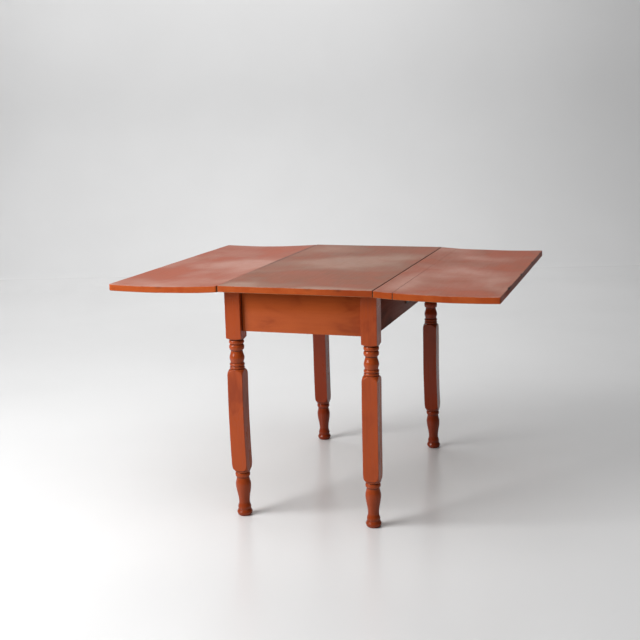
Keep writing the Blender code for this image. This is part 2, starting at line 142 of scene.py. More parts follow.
# Darker paint towards the foot of each leg: the heights where it is full and where it ends.
FOOT_DARK_FULL = 0.02
FOOT_DARK_TOP = 0.20


# ---------------------------------------------------------------- finishes


class Finish:
    """A material under construction: short calls that add and join its shader nodes."""

    def __init__(self, name):
        self.material = bpy.data.materials.new(name)
        self.material.use_nodes = True
        self.tree = self.material.node_tree
        self.shader = self.tree.nodes["Principled BSDF"]
        self.place = self.tree.nodes.new("ShaderNodeTexCoord").outputs["Object"]

    def add(self, kind, **settings):
        node = self.tree.nodes.new(kind)
        for key, value in settings.items():
            setattr(node, key, value)
        return node

    def feed(self, socket, value):
        if isinstance(value, bpy.types.NodeSocket):
            self.tree.links.new(value, socket)
        elif isinstance(value, (tuple, list)) and len(value) == 3 and socket.type == "RGBA":
            socket.default_value = (*value, 1.0)
        else:
            socket.default_value = value

    def stretched(self, scale, shift=(0.0, 0.0, 0.0)):
        """The piece's own coordinates, scaled axis by axis."""
        node = self.add("ShaderNodeMapping")
        self.feed(node.inputs["Vector"], self.place)
        node.inputs["Scale"].default_value = scale
        node.inputs["Location"].default_value = shift
        return node.outputs["Vector"]

    def cloud(self, size, detail=3.0, rough=0.5, twist=0.0, scale=(1, 1, 1), shift=(0, 0, 0)):
        """Soft noise whose patches are about size metres across."""
        node = self.add("ShaderNodeTexNoise")
        self.feed(node.inputs["Vector"], self.stretched(scale, shift))
        node.inputs["Scale"].default_value = 1.0 / size
        node.inputs["Detail"].default_value = detail
        node.inputs["Roughness"].default_value = rough
        node.inputs["Distortion"].default_value = twist
        return node.outputs["Fac"]

    def cells(self, size, scale=(1, 1, 1)):
        """Distance to the nearest of a scatter of points about size metres apart, in units of size."""
        node = self.add("ShaderNodeTexVoronoi")
        self.feed(node.inputs["Vector"], self.stretched(scale))
        node.inputs["Scale"].default_value = 1.0 / size
        return node.outputs["Distance"]

    def between(self, value, low, high, start=0.0, end=1.0):
        """Value run from low..high onto start..end, smoothly, and held there."""
        node = self.add("ShaderNodeMapRange", interpolation_type="SMOOTHSTEP")
        self.feed(node.inputs["Value"], value)
        self.feed(node.inputs["From Min"], low)
        self.feed(node.inputs["From Max"], high)
        self.feed(node.inputs["To Min"], start)
        self.feed(node.inputs["To Max"], end)
        return node.outputs["Result"]

    def calc(self, operation, a, b):
        node = self.add("ShaderNodeMath", operation=operation)
        self.feed(node.inputs[0], a)
        self.feed(node.inputs[1], b)
        return node.outputs["Value"]

    def blend(self, share, under, over):
        node = self.add("ShaderNodeMix", data_type="RGBA")
        colours = [s for s in node.inputs if s.type == "RGBA"]
        self.feed(node.inputs[0], share)
        self.feed(colours[0], under)
        self.feed(colours[1], over)
        return next(s for s in node.outputs if s.type == "RGBA")

    def patch(self, x, y, reach_x, reach_y):
        """1 at a place on a board, falling softly to 0 at its reach along X and Y."""
        scale = (1 / reach_x, 1 / reach_y, 0.0)
        centred = self.stretched(scale, (-x / reach_x, -y / reach_y, 0.0))
        length = self.add("ShaderNodeVectorMath", operation="LENGTH")
        self.feed(length.inputs[0], centred)
        return self.between(length.outputs["Value"], 1.0, 0.0)

    def patches(self, places):
        """A patch for every (x, y, reach along X, reach along Y, strength), as strong as it says."""
        return [self.calc("MULTIPLY", self.patch(*where), strength) for *where, strength in places]

    def height(self):
        """Height above the floor."""
        node = self.add("ShaderNodeSeparateXYZ")
        self.feed(node.inputs[0], self.place)
        return node.outputs["Z"]

    def mark(self, name):
        """A value stored on the piece's own points."""
        return self.add("ShaderNodeAttribute", attribute_name=name).outputs["Fac"]

    def relief(self, height, depth, under=None):
        """Bump whose full height is depth metres."""
        node = self.add("ShaderNodeBump")
        node.inputs["Strength"].default_value = 1.0
        self.feed(node.inputs["Distance"], depth)
        self.feed(node.inputs["Height"], height)
        if under is not None:
            self.feed(node.inputs["Normal"], under)
        return node.outputs["Normal"]

    def done(self, colour, rough, normal, metal=0.0, specular=0.5, coat=0.0, coat_rough=0.2):
        ports = self.shader.inputs
        ports["Specular IOR Level"].default_value = specular
        self.feed(ports["Base Color"], colour)
        self.feed(ports["Roughness"], rough)
        self.feed(ports["Metallic"], metal)
        self.feed(ports["Normal"], normal)
        ports["Coat Weight"].default_value = coat
        ports["Coat Roughness"].default_value = coat_rough
        return self.material


def along(axis, fine, coarse):
    """Scale for a grain that runs along one axis: fine across it, coarse along it."""
    return tuple(coarse if name == axis else fine for name in "XYZ")


def old_pine(f, axis):
    """Colour and height of aged, oiled pine with its grain along an axis."""
    rings = f.cloud(0.030, 4.0, 0.55, 0.5, along(axis, 1.0, 0.045))
    fibre = f.cloud(0.0016, 3.0, 0.6, 0.2, along(axis, 1.0, 0.03))
    blotch = f.cloud(0.11, 3.0, 0.6)
    colour = f.blend(f.between(rings, 0.32, 0.70, 0.0, 0.70), OLD_PINE, OLD_PINE_DARK)
    colour = f.blend(f.between(fibre, 0.40, 0.75, 0.0, 0.45), colour, RAW_WOOD)
    colour = f.blend(f.between(blotch, 0.45, 0.75, 0.0, 0.55), colour, OLD_PINE_DARK)
    return colour, fibre


def worn_top_paint(name, brown, dust_and_sheen_share, dust_and_sheen_colour, seed, rubbed_and_sheen, fresh_without_sheen, stains_and_shade=()):
    """Thin old paint on a table top: rubbed, dusty and with painted sheen in places, saturated on its edges,
    bare underneath.

    brown is how far the red has browned and dust_and_sheen_share how far its rubbed places have paled with
    dust and painted sheen.
    rubbed_and_sheen, fresh_without_sheen and stains_and_shade list places as (x, y, reach along X, reach
    along Y, strength).
    """
    f = Finish(name)
    wide = f.cloud(0.260, 3.0, 0.55, 0.25, (1.0, 0.9, 1.0), (seed, 0.3, 0.0))
    mid = f.cloud(0.110, 4.0, 0.60, 0.30, (1.0, 0.8, 1.0), (0.4, seed, 0.0))
    small = f.cloud(0.024, 4.0, 0.65, 0.3)
    grain = f.cloud(0.0045, 3.0, 0.6, 0.15, along("Y", 1.0, 0.035))
    fibre = f.cloud(0.0013, 2.0, 0.6, 0.0, along("Y", 1.0, 0.02))
    speck = f.cells(0.0135)
    rubs = f.cloud(0.0022, 2.0, 0.4, 0.0, along("X", 1.0, 0.016))

    # Rubbed places pull the dust and painted sheen up, fresh places pull them down.
    rubbing_and_sheen = f.calc("ADD", f.calc("MULTIPLY", wide, 0.9), f.calc("MULTIPLY", mid, 0.55))
    for share in f.patches(rubbed_and_sheen):
        rubbing_and_sheen = f.calc("ADD", rubbing_and_sheen, share)
    for share in f.patches(fresh_without_sheen):
        rubbing_and_sheen = f.calc("SUBTRACT", rubbing_and_sheen, share)
    # Dust and painted sheen: the pale veil over the top's gloss is laid into the colour.
    dust_and_sheen = f.between(rubbing_and_sheen, 0.61, 1.02)
    dust_and_sheen = f.calc("MULTIPLY", dust_and_sheen, f.between(small, 0.20, 0.70, 0.78, 1.0))

    colour = f.blend(f.between(mid, 0.34, 0.66, 0.7 * brown * brown, brown), TERRACOTTA, WALNUT_BROWN)
    colour = f.blend(f.between(rubbing_and_sheen, 0.72, 0.50, 0.0, 0.65 - 0.45 * brown), colour, RUST)
    colour = f.blend(f.calc("MULTIPLY", dust_and_sheen, dust_and_sheen_share), colour, dust_and_sheen_colour)
    colour = f.blend(f.between(grain, 0.46, 0.76, 0.0, 0.05), colour, RUST_DEEP)
    colour = f.blend(f.between(fibre, 0.54, 0.80, 0.0, 0.04), colour, DUST_AND_SHEEN)
    colour = f.blend(f.between(speck, 0.085, 0.045, 0.0, 0.25), colour, DUST_AND_SHEEN)
    colour = f.blend(f.between(rubs, 0.70, 0.82, 0.0, 0.16), colour, DUST_AND_SHEEN)
    scuffs = f.between(f.cloud(0.016, 5.0, 0.75, 1.2), 0.60, 0.72, 0.0, 0.34)
    colour = f.blend(scuffs, colour, RUST_DEEP)

    edge_tone = f.cloud(0.060, 3.0, 0.6, 0.3)
    edge = f.blend(f.between(edge_tone, 0.40, 0.66), RUST_ORANGE, RUST)
    # Stains, and painted shade on an edge turned from the light, deepen the edge paint.
    for share in f.patches(stains_and_shade):
        edge = f.blend(share, edge, RUST_DEEP)
    streak = f.cloud(0.0030, 3.0, 0.6, 0.2, (0.10, 0.10, 1.0))
    edge = f.blend(f.between(streak, 0.50, 0.74, 0.0, 0.22), edge, RUST_DEEP)
    nicks = f.cloud(0.009, 3.0, 0.7, 0.0, (1.0, 1.0, 1.6))
    edge = f.blend(f.between(nicks, 0.71, 0.76, 0.0, 0.70), edge, GRIME_AND_SHADE)
    colour = f.blend(f.mark("upright"), colour, edge)

    arris = f.mark("arris")
    # Pale dust and a painted highlight along the arris.
    pale = f.calc("MULTIPLY", arris, f.between(small, 0.36, 0.60, 0.08, 0.50))
    colour = f.blend(pale, colour, DUST_AND_SHEEN)
    worn = f.calc("MULTIPLY", arris, f.between(nicks, 0.57, 0.65))
    colour = f.blend(f.calc("MULTIPLY", worn, 0.75), colour, OLD_PINE_DARK)
    colour = f.blend(f.mark("chip"), colour, GRIME_AND_SHADE)
    # Grime and painted shade at the joints.
    colour = f.blend(f.mark("joint"), colour, JOINT_GRIME_AND_SHADE)

    pine, pine_height = old_pine(f, "Y")
    smear = f.between(f.cloud(0.070, 4.0, 0.65, 0.8), 0.56, 0.62, 0.0, 0.55)
    pine = f.blend(smear, pine, RUST_DEEP)
    under = f.mark("under")
    colour = f.blend(under, colour, pine)

    rough = f.calc("ADD", f.between(dust_and_sheen, 0.0, 1.0, 0.40, 0.56), f.between(grain, 0.35, 0.75, -0.01, 0.02))
    rough = f.calc("ADD", rough, f.between(rubs, 0.66, 0.80, 0.0, 0.06))
    rough = f.calc("MAXIMUM", rough, f.between(under, 0.0, 1.0, 0.0, 0.80))
    rough = f.calc("MAXIMUM", rough, f.between(worn, 0.0, 1.0, 0.0, 0.70))
    normal = f.relief(grain, 0.00004)
    normal = f.relief(f.cloud(0.0032, 2.0, 0.5), 0.00004, normal)
    normal = f.relief(f.between(speck, 0.10, 0.04), 0.00010, normal)
    normal = f.relief(f.calc("MULTIPLY", under, pine_height), 0.00022, normal)
    return f.done(colour, rough, normal, specular=0.07)


def brushed_paint(name, axis, main, deep, gloss, brushing, shine=1.0, corners=()):
    """Half gloss paint brushed along a member, with dirt and painted shade in its hollows, rubbed arrises and
    paint darker towards the foot.

    corners lists places of painted shade where the member meets another, as (x, y, reach along X, reach along
    Y, strength).
    """
    f = Finish(name)
    tone = f.cloud(0.075, 3.0, 0.6, 0.5, along(axis, 1.0, 0.45))
    brush = f.cloud(0.0052, 3.0, 0.6, 0.1, along(axis, 1.0, 0.024))
    fibre = f.cloud(0.0012, 2.0, 0.55, 0.0, along(axis, 1.0, 0.018))
    fine = f.cloud(0.0028, 2.0, 0.5)
    dents = f.cells(0.024)
    colour = f.blend(f.between(tone, 0.36, 0.66, 0.0, 0.20), main, deep)
    colour = f.blend(f.between(tone, 0.54, 0.70, 0.0, 0.50), colour, deep)
    colour = f.blend(f.between(brush, 0.44, 0.74, 0.0, brushing), colour, deep)
    colour = f.blend(f.between(fibre, 0.52, 0.80, 0.0, 0.5 * brushing), colour, main)
    colour = f.blend(f.between(dents, 0.055, 0.03, 0.0, 0.60), colour, deep)
    chips = f.between(f.cloud(0.0060, 4.0, 0.7, 0.4), 0.700, 0.735)
    colour = f.blend(f.calc("MULTIPLY", chips, 0.75), colour, GRIME_AND_SHADE)
    # Dirt and painted shade in the hollows of the turnings.
    colour = f.blend(f.calc("MULTIPLY", f.mark("hollow"), 0.80), colour, GRIME_AND_SHADE)
    arris = f.mark("arris")
    rub = f.calc("MULTIPLY", arris, f.between(f.cloud(0.016, 4.0, 0.7), 0.44, 0.62))
    colour = f.blend(f.calc("MULTIPLY", rub, 0.26), colour, TERRACOTTA)
    bare = f.calc("MULTIPLY", arris, f.between(f.cloud(0.010, 3.0, 0.7), 0.64, 0.70))
    colour = f.blend(f.calc("MULTIPLY", bare, 0.7), colour, OLD_PINE_DARK)
    # Painted shade in the corners.
    for share in f.patches(corners):
        colour = f.blend(share, colour, GRIME_AND_SHADE)
    # Darker towards the bottom of the leg.
    ragged_height = f.calc("ADD", f.height(), f.calc("MULTIPLY", fine, 0.03))
    colour = f.blend(f.between(ragged_height, FOOT_DARK_TOP, FOOT_DARK_FULL, 0.0, 0.55), colour, deep)
    polish = f.between(tone, 0.35, 0.70, gloss, gloss + 0.09)
    rough = f.calc("ADD", polish, f.between(brush, 0.40, 0.75, -0.02, 0.07))
    normal = f.relief(brush, 0.00016)
    normal = f.relief(fibre, 0.00003, normal)
    normal = f.relief(fine, 0.00004, normal)
    normal = f.relief(f.between(dents, 0.07, 0.03, 1.0, 0.0), 0.00020, normal)
    normal = f.relief(chips, -0.00012, normal)
    return f.done(colour, rough, normal, specular=0.06 * shine, coat=0.30 * shine, coat_rough=0.06)


def bare_block_finish(name, axis):
    """Unpainted pine inside the frame, with the odd smear of paint."""
    f = Finish(name)
    colour, height = old_pine(f, axis)
    smear = f.between(f.cloud(0.030, 4.0, 0.7, 0.6), 0.58, 0.64, 0.0, 0.7)
    colour = f.blend(smear, colour, RUST_DEEP)
    rough = f.between(height, 0.30, 0.75, 0.66, 0.86)
    normal = f.relief(height, 0.00025)
    normal = f.relief(f.cloud(0.012, 3.0, 0.5), 0.00030, normal)
    return f.done(colour, rough, normal)


def metal_finish(name, base, rust, rust_share, gloss, metal):
    """Forged or drawn metal: mottled, a little rusty, bright where it rubs."""
    f = Finish(name)
    mottle = f.cloud(0.006, 5.0, 0.65, 0.4)
    spots = f.cloud(0.0022, 3.0, 0.6)
    spread = f.calc("MULTIPLY", mottle, f.between(spots, 0.30, 0.70, 0.8, 1.2))
    rusting = f.between(spread, 0.50, 0.62, 0.0, rust_share)
    colour = f.blend(f.between(mottle, 0.30, 0.70), base, tuple(1.5 * c for c in base))
    colour = f.blend(rusting, colour, rust)
    polish = f.between(mottle, 0.30, 0.70, gloss, gloss + 0.14)
    rough = f.calc("ADD", polish, f.calc("MULTIPLY", rusting, 0.25))
    shine = f.calc("SUBTRACT", metal, f.calc("MULTIPLY", rusting, metal * 0.8))
    normal = f.relief(mottle, 0.00014)
    normal = f.relief(spots, 0.00006, normal)
    return f.done(colour, rough, normal, metal=shine)


# Places on the boards: rubbed ones carry dust and painted sheen, fresh ones are clear of both.
CENTRE_RUBBED_AND_SHEEN = (
    (-0.02, 0.06, 0.26, 0.17, 0.42),
    (0.14, 0.18, 0.16, 0.10, 0.22),
    # Painted sheen along the front arris of the centre top.
    (0.14, -0.47, 0.22, 0.055, 0.46),
    (-0.18, -0.45, 0.08, 0.10, 0.34),
    (-0.12, 0.33, 0.16, 0.10, 0.20),
)
CENTRE_FRESH_WITHOUT_SHEEN = (
    (0.02, -0.24, 0.30, 0.20, 0.30),
    (0.16, 0.38, 0.16, 0.12, 0.20),
)
CENTRE_STAINED = ((0.20, -0.47, 0.20, 0.20, 0.55),)
LEFT_RUBBED_AND_SHEEN = (
    (-0.38, 0.02, 0.20, 0.20, 0.36),
    (-0.29, -0.06, 0.09, 0.26, 0.30),
    (-0.47, 0.30, 0.10, 0.10, 0.22),
)
LEFT_FRESH_WITHOUT_SHEEN = (
    (-0.54, -0.26, 0.14, 0.22, 0.20),
    (-0.30, 0.38, 0.16, 0.14, 0.26),
)
RIGHT_RUBBED_AND_SHEEN = (
    (0.40, -0.05, 0.20, 0.20, 0.30),
    (0.29, -0.30, 0.07, 0.22, 0.32),
    (0.44, 0.26, 0.20, 0.12, 0.22),
    (0.54, -0.20, 0.09, 0.12, 0.22),
)
RIGHT_FRESH_WITHOUT_SHEEN = (
    (0.55, 0.02, 0.12, 0.14, 0.26),
    (0.50, -0.43, 0.18, 0.10, 0.26),
    (0.46, 0.42, 0.14, 0.08, 0.20),
)
# Painted shade down the right leaf's outer edge, which faces away from the light.
RIGHT_EDGE_SHADE = ((0.600, 0.02, 0.04, 0.80, 1.0), (0.600, 0.02, 0.03, 0.62, 0.8))
CENTRE_FINISH = worn_top_paint(
    "worn_paint_centre_top", 0.95, 0.56, DUST_AND_SHEEN_GREY, 1.7, CENTRE_RUBBED_AND_SHEEN, CENTRE_FRESH_WITHOUT_SHEEN, CENTRE_STAINED
)
LEAF_FINISH = {
    "left": worn_top_paint("worn_paint_left_leaf", 0.16, 0.66, DUST_AND_SHEEN, 4.1, LEFT_RUBBED_AND_SHEEN, LEFT_FRESH_WITHOUT_SHEEN),
    "right": worn_top_paint(
        "worn_paint_right_leaf", 0.52, 0.60, DUST_AND_SHEEN, 2.9, RIGHT_RUBBED_AND_SHEEN, RIGHT_FRESH_WITHOUT_SHEEN, RIGHT_EDGE_SHADE
    ),
}
LEG_FINISH = {
    "front": brushed_paint("brushed_paint_front_legs", "Z", RUST, RUST_DEEP, 0.25, 0.26, 1.15),
    # The back legs' darker paint is painted shade.
    "back": brushed_paint("brushed_paint_back_legs_in_shade", "Z", RUST_BACK_IN_SHADE, RUST_DEEP, 0.27, 0.24, 1.2),
}
# Painted shade down the ends of each end apron, where it meets the legs.
APRON_CORNER_SHADE = tuple(
    (sx * (LEG_X - LEG_SQ / 2), sy * LEG_Y, 0.0050, 0.30, 0.95)
    for sx in SIDES.values()
    for sy in ENDS.values()
)
END_APRON_FINISH = brushed_paint(
    "brushed_paint_end_aprons", "X", RUST_ORANGE, RUST_DEEP, 0.30, 0.08, 0.8, APRON_CORNER_SHADE
)
# Side aprons and keepers lie in shade under the leaves; their darker paint is painted shade.
SIDE_APRON_FINISH = brushed_paint("thin_paint_in_shade_side_aprons", "Y", RUST_SHADED, GRIME_AND_SHADE, 0.42, 0.22, 0.3)
KEEPER_FINISH = brushed_paint("thin_paint_in_shade_keepers", "X", RUST_SHADED, GRIME_AND_SHADE, 0.45, 0.22, 0.3)
BLOCK_FINISH = {axis: bare_block_finish("old_pine_blocks_" + axis.lower(), axis) for axis in "XYZ"}
IRON_FINISH = metal_finish("dark_iron", IRON, IRON_RUST, 0.75, 0.46, 0.85)
PIN_FINISH = metal_finish("rubbed_steel", STEEL, IRON_RUST, 0.40, 0.34, 0.95)


# ---------------------------------------------------------------- shared mesh work


def ease_shading(mesh, crisp_degrees):
    """Shades smooth, keeping every edge sharper than the given angle crisp."""
    bm = bmesh.new()
    bm.from_mesh(mesh)
    bmesh.ops.recalc_face_normals(bm, faces=bm.faces)
    for face in bm.faces:
        face.smooth = True
    for edge in bm.edges:
        edge.smooth = edge.calc_face_angle(0.0) < math.radians(crisp_degrees)
    bm.to_mesh(mesh)
    bm.free()


def settle(name, mesh, body, finish, nodes, crisp_degrees=35):
    """Makes the mesh a finished piece that rides on a body and stands for its CAD nodes."""
    ease_shading(mesh, crisp_degrees)
    mesh.name = name
    piece = bpy.data.objects.new(name, mesh)
    bpy.context.scene.collection.objects.link(piece)
    mesh.materials.clear()
    mesh.materials.append(finish)
    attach(piece, body)
    if nodes:
        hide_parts(*nodes)
    return piece


def finished_mesh(obj):
    """The object's mesh with its modifiers worked in. The object itself is removed."""
    bpy.context.view_layer.update()
    graph = bpy.context.evaluated_depsgraph_get()
    mesh = bpy.data.meshes.new_from_object(obj.evaluated_get(graph))
    bpy.data.objects.remove(obj)
    return mesh


def loose_object(name, mesh):
    obj = bpy.data.objects.new(name, mesh)
    bpy.context.scene.collection.objects.link(obj)
    return obj


def waves(x, y, size, seed):
    """Smooth noise from -1 to 1 with waves of about size metres."""
    return noise.noise(Vector((x / size, y / size, seed)))


# ---------------------------------------------------------------- boards


def edge_lines(low, high, pitch):
    """Places of a board's grid lines: close together at both edges, even between them."""
    first, last = low + EDGE_STEPS[-1], high - EDGE_STEPS[-1]
    count = max(2, round((last - first) / pitch))
    middle = [first + (last - first) * i / count for i in range(1, count)]
    return [low + s for s in EDGE_STEPS] + middle + [high - s for s in reversed(EDGE_STEPS)]


def shell(counts):
    """(points, quads) of the outside of a box of cells, as whole-number grid places."""
    nx, ny, nz = counts
    index, points, quads = {}, [], []

    def at(*key):
        if key not in index:
            index[key] = len(points)
            points.append(key)
        return index[key]

    for k in (0, nz):
        for i in range(nx):
            for j in range(ny):
                quads.append((at(i, j, k), at(i + 1, j, k), at(i + 1, j + 1, k), at(i, j + 1, k)))
    for j in (0, ny):
        for i in range(nx):
            for k in range(nz):
                quads.append((at(i, j, k), at(i + 1, j, k), at(i + 1, j, k + 1), at(i, j, k + 1)))
    for i in (0, nx):
        for j in range(ny):
            for k in range(nz):
                quads.append((at(i, j, k), at(i, j + 1, k), at(i, j + 1, k + 1), at(i, j, k + 1)))
    return points, quads


def round_in_plan(x, y, low, high, radius):
    """Moves a point near a board's corner onto the corner's arc, keeping its distance from the edge."""
    cx = min(max(x, low[0] + radius), high[0] - radius)
    cy = min(max(y, low[1] + radius), high[1] - radius)
    a, b = x - cx, y - cy
    reach = math.hypot(a, b)
    if abs(a) < 1e-9 or abs(b) < 1e-9:
        return x, y
    share = max(abs(a), abs(b)) / reach
    return cx + a * share, cy + b * share


def board_mesh(low, high, arris, corner_r, lie, chips=(), joints=()):
    """A board with worn, uneven arrises.

    arris(x, y, up) gives their radius and lie(x, y) the height of the upper face. chips lists places as
    (x, y, depth, half length), and joints the edges that meet another board, as (x, grime and painted shade
    on the face).
    """
    thick = TOP_T
    lines = [
        edge_lines(low[0], high[0], BOARD_PITCH),
        edge_lines(low[1], high[1], BOARD_PITCH),
        [-thick + s for s in EDGE_STEPS[:-1]] + [-thick / 2] + [-s for s in reversed(EDGE_STEPS[:-1])],
    ]
    places, quads = shell([len(line) - 1 for line in lines])
    ends = [(low[0], high[0]), (low[1], high[1]), (-thick, 0.0)]
    verts, marks = [], {"arris": [], "upright": [], "under": [], "chip": [], "joint": []}
    for i, j, k in places:
        p = [lines[0][i], lines[1][j], lines[2][k]]
        up = p[2] > -thick / 2
        bite = 0.0
        for x, y, depth, half in chips:
            near = math.exp(-(((p[1] - y) / half) ** 2) - ((p[0] - x) / CHIP_REACH) ** 2)
            ragged = 1.0 + 0.35 * waves(p[0], p[1], 0.004, 3.0)
            bite = max(bite, depth * near * ragged) if up else bite
        radius = arris(p[0], p[1], up) + bite
        inner = [min(max(c, lo + radius), hi - radius) for c, (lo, hi) in zip(p, ends)]
        off = [c - q for c, q in zip(p, inner)]
        reach = math.sqrt(sum(o * o for o in off))
        if reach > 0:
            p = [q + o * radius / reach for q, o in zip(inner, off)]
        tilt = [abs(o) / reach if reach > 0 else 0.0 for o in off]
        upright = max(tilt[0], tilt[1])
        turning = 4.0 * (1 - upright * upright) * upright * upright if 0 < upright < 1 else 0.0
        x, y = round_in_plan(p[0], p[1], low, high, corner_r)
        verts.append((x, y, lie(x, y) + p[2]))
        marks["arris"].append(min(1.0, turning))
        marks["upright"].append(min(1.0, upright**4 * 1.2))
        marks["under"].append(0.0 if up or upright > 0.9 else 1.0)
        # Painted shade at joints: the faces in the gap darken, and the upper face beside a joint, more
        # towards the back, takes grime and painted shade.
        grime_and_shade = 0.0
        for edge, settled_and_shade in joints:
            off_joint = abs(p[0] - edge)
            if off_joint < JOINT_FACE:
                grime_and_shade = max(grime_and_shade, min(1.0, 1.3 * tilt[0] ** 3))
            if settled_and_shade and up:
                ragged = 0.8 + 0.4 * waves(p[0], p[1], 0.03, 5.0)
                towards_back = min(max((p[1] + 0.30) / 0.35, 0.0), 1.0)
                fade = max(0.0, 1.0 - off_joint / JOINT_GRIME_AND_SHADE_REACH) ** 0.5
                grime_and_shade = max(grime_and_shade, settled_and_shade * ragged * towards_back * fade)
        marks["joint"].append(min(1.0, grime_and_shade))
        marks["chip"].append(min(1.0, bite / CHIP_FULL) if upright > 0.05 else 0.0)
    mesh = bpy.data.meshes.new("board")
    mesh.from_pydata(verts, [], quads)
    for name, values in marks.items():
        mesh.attributes.new(name, "FLOAT", "POINT").data.foreach_set("value", values)
    return mesh


def leaf_lie(side):
    """Height of a leaf's upper face, from its cupped section and the twist it has taken along its length."""
    twist = {"left": (0.0011, 0.0002, -0.0009), "right": (0.0009, 0.0004, 0.0019)}[side]

    def lie(x, y):
        out = abs(x) - LEAF_IN
        bend = LEAF_RISE + LEAF_CREST - LEAF_STEP - math.tan(LEAF_SLOPE) * out + out * out / (2 * LEAF_CUP_R)
        t = y / HALF_L
        end = twist[0] if t < 0 else twist[2]
        free = min(max((out - 0.05) / 0.11, 0.0), 1.0)
        lift = (twist[1] + (end - twist[1]) * abs(t) ** 1.5) * free * free * (3 - 2 * free)
        return bend + lift + 0.00022 * waves(x, y, 0.13, 7.0 + SIDES[side])

    return lie


def centre_lie(x, y):
    free = max(0.0, 1 - (x / HALF_W) ** 8)
    return TOP_Z - 0.00022 * free * (1 + waves(x, y, 0.14, 2.0))


def worn_arris(seed):
    """Arris radius as use has left it: uneven along the board, and sharper underneath."""

    def radius(x, y, up):
        long_wear = waves(x, y, 0.085, seed)
        short_wear = waves(x, y, 0.018, seed + 4.0)
        return ARRIS_R * (1.0 + ARRIS_WEAR * long_wear + 0.22 * short_wear) * (1.0 if up else 0.75)

    return radius


def seam_arris(y):
    """Arris radius along the seam in the right leaf, which has opened most at the front."""
    return SEAM_R * min(max(0.75 - 1.3 * y / HALF_L, 0.35), 1.6)


def build_boards():
    mesh = board_mesh(
        (-HALF_W, -HALF_L),
        (HALF_W, HALF_L),
        worn_arris(11.0),
        CORNER_R["centre"],
        centre_lie,
        ((0.045, -HALF_L, 0.0006, 0.004), (HALF_W, 0.21, 0.0014, 0.012), (0.135, -HALF_L, 0.0008, 0.005)),
        ((-HALF_W, 0.55), (HALF_W, 0.30)),
    )
    settle("painted_centre_top", mesh, "frame", CENTRE_FINISH, ["centre_top"], BOARD_CRISP)

    outer = LEAF_IN + LEAF_W
    mesh = board_mesh(
        (-outer, -HALF_L),
        (-LEAF_IN, HALF_L),
        worn_arris(23.0),
        CORNER_R["left leaf"],
        leaf_lie("left"),
        ((-outer, -0.26, 0.0010, 0.012), (-0.43, -HALF_L, 0.0007, 0.007)),
        ((-LEAF_IN, 0.95),),
    )
    finish = LEAF_FINISH["left"]
    settle("painted_left_leaf", mesh, "left_leaf", finish, ["left_leaf_board"], BOARD_CRISP)

    seam = LEAF_IN + STRIP_W
    wear = worn_arris(37.0)

    def strip_arris(x, y, up):
        return seam_arris(y) if up and x > seam - SEAM_WEAR_IN else wear(x, y, up)

    def outer_arris(x, y, up):
        return seam_arris(y) if up and x < seam + SEAM_GAP + SEAM_WEAR_IN else wear(x, y, up)

    mesh = board_mesh(
        (LEAF_IN, -HALF_L),
        (seam, HALF_L),
        strip_arris,
        CORNER_R["inner strip"],
        leaf_lie("right"),
        (),
        ((LEAF_IN, 0.0), (seam, 0.0)),
    )
    finish = LEAF_FINISH["right"]
    nodes = ["right_leaf_inner_strip"]
    settle("painted_right_leaf_inner_strip", mesh, "right_leaf", finish, nodes, BOARD_CRISP)
    mesh = board_mesh(
        (seam + SEAM_GAP, -HALF_L),
        (outer, HALF_L),
        outer_arris,
        CORNER_R["right leaf"],
        leaf_lie("right"),
        (
            (outer, -0.315, 0.0030, 0.013),
            (outer, -0.285, 0.0018, 0.009),
            (outer, -0.060, 0.0026, 0.012),
            (outer, 0.190, 0.0016, 0.014),
            (outer, 0.400, 0.0014, 0.010),
        ),
        ((seam + SEAM_GAP, 0.0),),
    )
    nodes = ["right_leaf_board"]
    settle("painted_right_leaf", mesh, "right_leaf", finish, nodes, BOARD_CRISP)


# ---------------------------------------------------------------- turned legs


def ease(points, z, r, steps=10):
    """Runs the profile on to (z, r) along a smooth S curve."""
    z0, r0 = points[-1]
    for i in range(1, steps + 1):
        t = i / steps
        points.append((z0 + (z - z0) * t, r0 + (r - r0) * (1 - math.cos(math.pi * t)) / 2))


def bead(points, z0, z1, root, crown, steps=12):
    """A round bead between two heights, standing up from its root radius."""
    for i in range(steps + 1):
        t = math.pi * i / steps
        points.append(((z0 + z1) / 2 - (z1 - z0) / 2 * math.cos(t), root + (crown - root) * math.sin(t)))


def straight(points, z, r, steps=6):
    z0, r0 = points[-1]
    for i in range(1, steps + 1):
        points.append((z0 + (z - z0) * i / steps, r0 + (r - r0) * i / steps))


